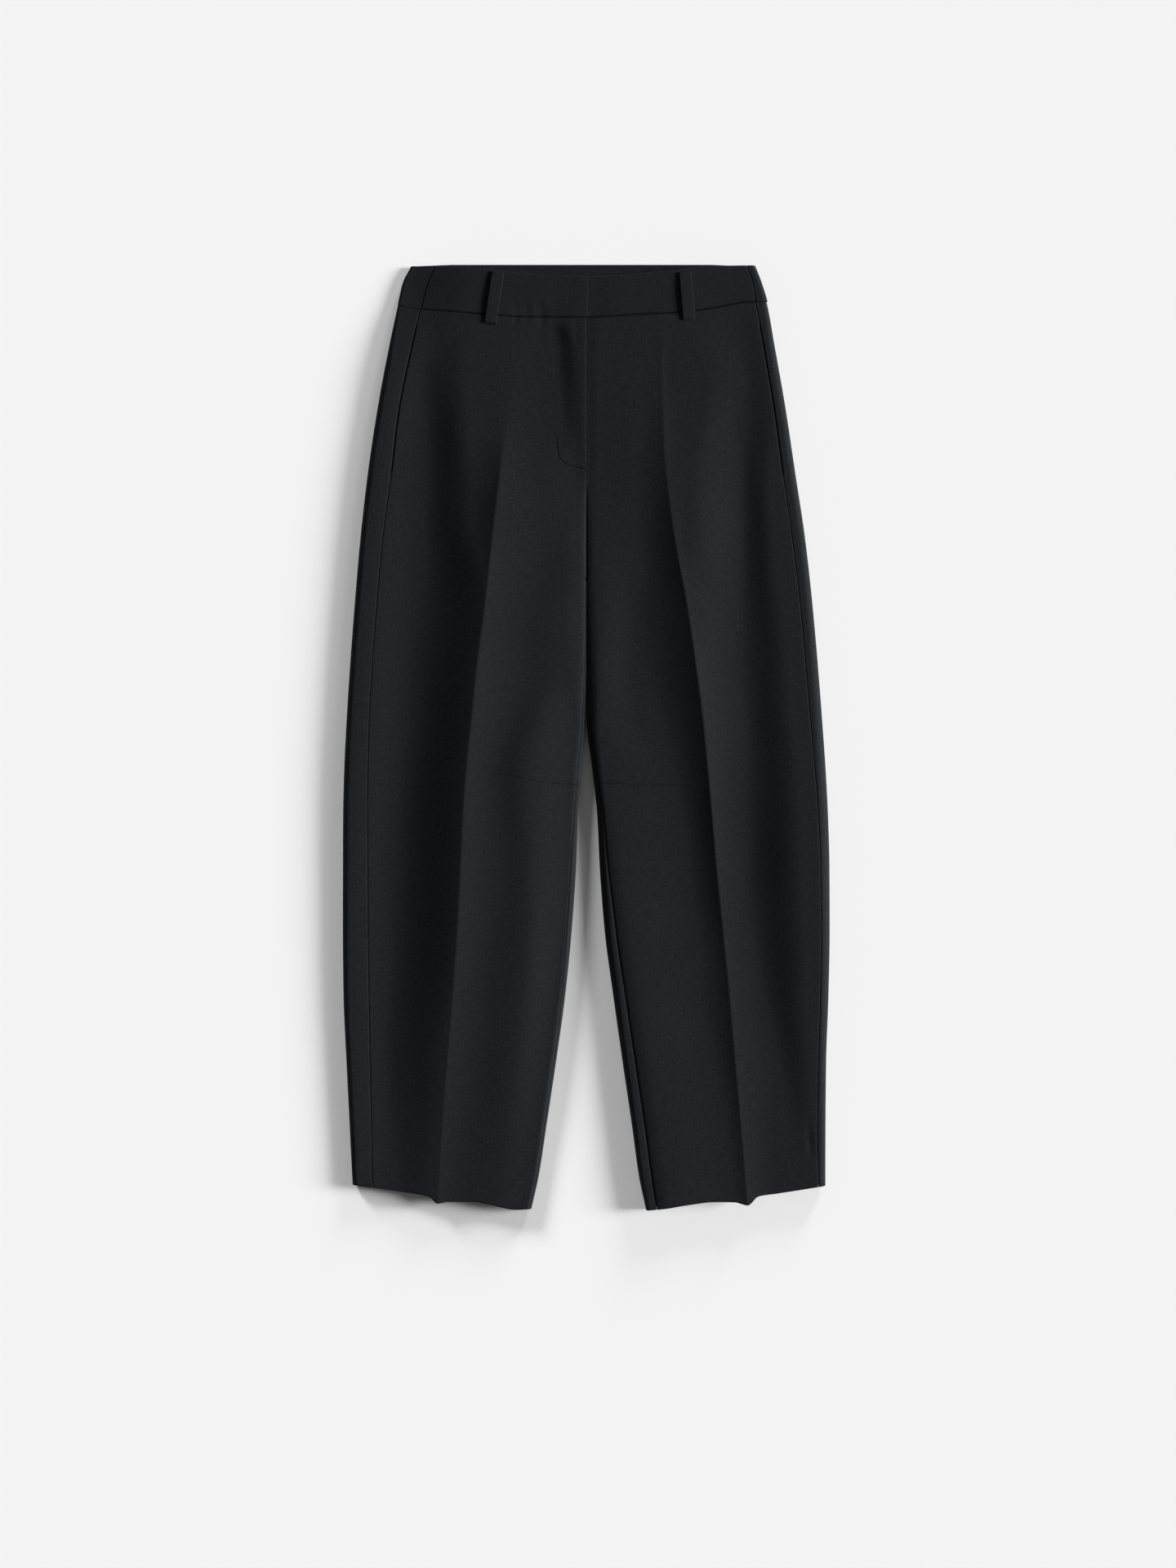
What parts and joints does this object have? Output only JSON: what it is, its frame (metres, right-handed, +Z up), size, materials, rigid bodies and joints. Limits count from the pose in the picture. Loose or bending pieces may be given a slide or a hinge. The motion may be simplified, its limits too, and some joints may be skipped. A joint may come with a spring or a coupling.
{
  "type": "barrel leg trousers",
  "caption": "Barrel leg trousers in plain dark suiting with pressed front creases, fly front, waistband and belt loops, laid flat with the front up.",
  "frame": {"origin": "the middle of the laid trousers' outline, on the surface they lie on", "axes": "+Y towards the waist, +X towards the wearer's left, +Z up out of the front"},
  "size_m": [0.507, 0.985, 0.0265],
  "materials": {
    "suiting": "matt fine plain weave suiting, near black, with a faint sheen along folds",
    "waistband": "matt fine plain weave suiting over interfacing, near black",
    "belt_loop": "matt fine plain weave suiting, folded and stitched, near black"
  },
  "bodies": {
    "root": {"front_right": "suiting", "front_left": "suiting", "back_right": "suiting", "back_left": "suiting", "waistband_front_right": "waistband", "waistband_front_left": "waistband", "waistband_back": "waistband", "belt_loop_front_right": "belt_loop", "belt_loop_front_left": "belt_loop", "belt_loop_back_right": "belt_loop", "belt_loop_back_centre": "belt_loop", "belt_loop_back_left": "belt_loop"}
  },
  "joints": []
}
